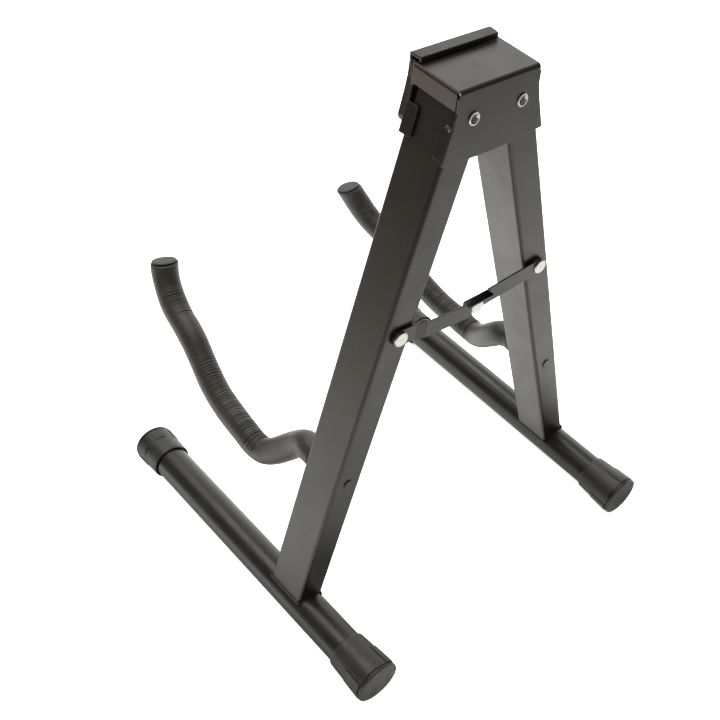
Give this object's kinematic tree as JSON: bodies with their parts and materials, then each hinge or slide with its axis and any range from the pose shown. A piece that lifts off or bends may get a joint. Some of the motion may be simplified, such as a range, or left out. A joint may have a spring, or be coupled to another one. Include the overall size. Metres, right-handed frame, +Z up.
{
  "type": "folding guitar stand",
  "caption": "Folding A-frame instrument stand with rectangular legs, round floor bars with rubber caps, bent foam-covered cradle arms and a hinged spreader link.",
  "frame": {"origin": "on the floor, at the centre of the overall box", "axes": "+Z up; -Y towards the side the instrument rests on; +X across the stand, towards the leg that carries the joggled strap"},
  "size_m": [0.2834, 0.2987, 0.3604],
  "materials": {
    "leg_black": "satin black powder coat",
    "bracket_black": "satin black powder coat on pressed sheet",
    "link_black": "satin black coated strap",
    "rivet_zinc": "bright zinc plated, slightly dull",
    "cap_rubber": "matt moulded rubber",
    "arm_foam": "matt closed-cell foam sleeve",
    "rod_steel": "plain steel rod, hidden in the foam"
  },
  "bodies": {
    "bracket": {"channel_bracket": "bracket_black", "cover_plate": "bracket_black", "pivot_eyelets": "rivet_zinc"},
    "left_leg": {"left_leg_tube": "leg_black", "left_floor_bar": "leg_black", "left_weld_beads": "leg_black", "left_front_cap": "cap_rubber", "left_rear_cap": "cap_rubber", "left_arm_rod": "rod_steel", "left_arm_sleeve": "arm_foam", "left_arm_end_disc": "arm_foam", "left_link_rivet": "rivet_zinc"},
    "right_leg": {"right_leg_tube": "leg_black", "right_floor_bar": "leg_black", "right_weld_beads": "leg_black", "right_front_cap": "cap_rubber", "right_rear_cap": "cap_rubber", "right_arm_rod": "rod_steel", "right_arm_sleeve": "arm_foam", "right_arm_end_disc": "arm_foam"},
    "left_link": {"left_strap": "link_black", "left_strap_washer": "rivet_zinc"},
    "right_link": {"right_strap": "link_black", "right_strap_spacer": "rivet_zinc", "right_link_rivet": "rivet_zinc", "middle_link_rivet": "rivet_zinc"}
  },
  "joints": [
    {"name": "left_leg_fold", "type": "hinge", "parent": "bracket", "child": "left_leg", "pos_m": [0.0164, 0.0593, 0.3408], "axis": [0, 1, 0], "range_deg": [0, 18]},
    {"name": "right_leg_fold", "type": "hinge", "parent": "bracket", "child": "right_leg", "pos_m": [-0.0164, 0.0593, 0.3408], "axis": [0, 1, 0], "range_deg": [-18, 0]},
    {"name": "left_strap_turn", "type": "hinge", "parent": "left_leg", "child": "left_link", "pos_m": [0.05527, 0.0753, 0.2243], "axis": [0, 1, 0], "range_deg": [0, 49.29]},
    {"name": "link_elbow_turn", "type": "hinge", "parent": "left_link", "child": "right_link", "pos_m": [-0.0032, 0.0759, 0.2189], "axis": [0, 1, 0], "range_deg": [-155.33, 0]}
  ],
  "couplings": [
    {"joint": "right_leg_fold", "follows": "left_leg_fold", "ratio": -1},
    {"joint": "left_strap_turn", "follows": "left_leg_fold", "ratio": 2.7383},
    {"joint": "link_elbow_turn", "follows": "left_leg_fold", "ratio": -8.6294}
  ]
}
